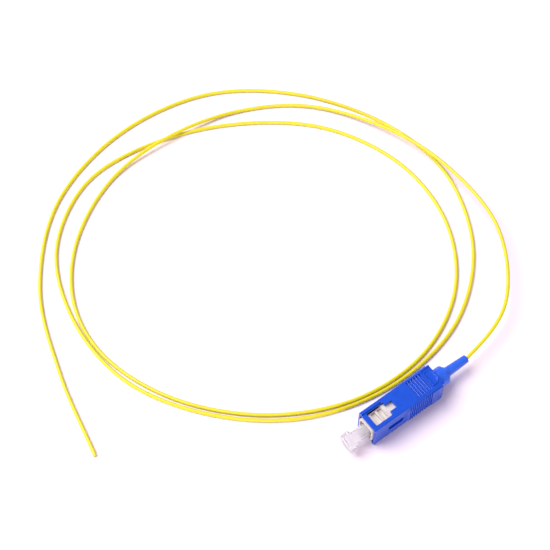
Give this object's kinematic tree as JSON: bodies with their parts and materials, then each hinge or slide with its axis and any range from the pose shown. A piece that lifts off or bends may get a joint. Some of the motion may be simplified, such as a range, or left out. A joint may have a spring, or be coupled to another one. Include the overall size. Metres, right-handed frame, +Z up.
{
  "type": "fibre optic pigtail",
  "caption": "Fibre optic pigtail: a push-pull plug with a capped 2.5 mm ferrule and a sliding keyed sleeve, on a loose coil of thin buffered fibre with a bare cut end for splicing.",
  "frame": {"origin": "the middle of the plug's footprint on the surface that it lies on, without the fibre", "axes": "+X along the plug's axis from the ferrule towards the boot, +Y towards the sleeve's key and the fibre's coil, +Z up, away from the surface"},
  "size_m": [0.1428, 0.1347, 0.009],
  "materials": {
    "blue_plastic": "moulded, smooth and slightly glossy",
    "blue_rubber": "soft moulded, satin",
    "white_plastic": "moulded, slightly glossy",
    "clear_plastic": "clear, milky",
    "ceramic": "ground and polished",
    "nickel": "nickel plated",
    "spring_steel": "drawn wire",
    "yellow_buffer": "smooth extruded"
  },
  "bodies": {
    "plug": {"plug_frame": "white_plastic", "stop_ring": "nickel", "boot": "blue_rubber", "compression_spring": "spring_steel", "fibre": "yellow_buffer"},
    "sleeve": {"coupling_sleeve": "blue_plastic"},
    "ferrule_assembly": {"ferrule": "ceramic", "ferrule_flange": "nickel"},
    "cap": {"dust_cap": "clear_plastic"}
  },
  "joints": [
    {"name": "sleeve_slide", "type": "slide", "parent": "plug", "child": "sleeve", "axis": [1, 0, 0], "range_m": [0, 0.002]},
    {"name": "ferrule_float", "type": "slide", "parent": "plug", "child": "ferrule_assembly", "axis": [1, 0, 0], "range_m": [0, 0.001], "stiffness_N_per_m": 3000, "springref_m": -0.002, "deforming": ["compression_spring"]},
    {"name": "cap_pull", "type": "slide", "parent": "ferrule_assembly", "child": "cap", "axis": [-1, 0, 0], "range_m": [0, 0.008]}
  ]
}
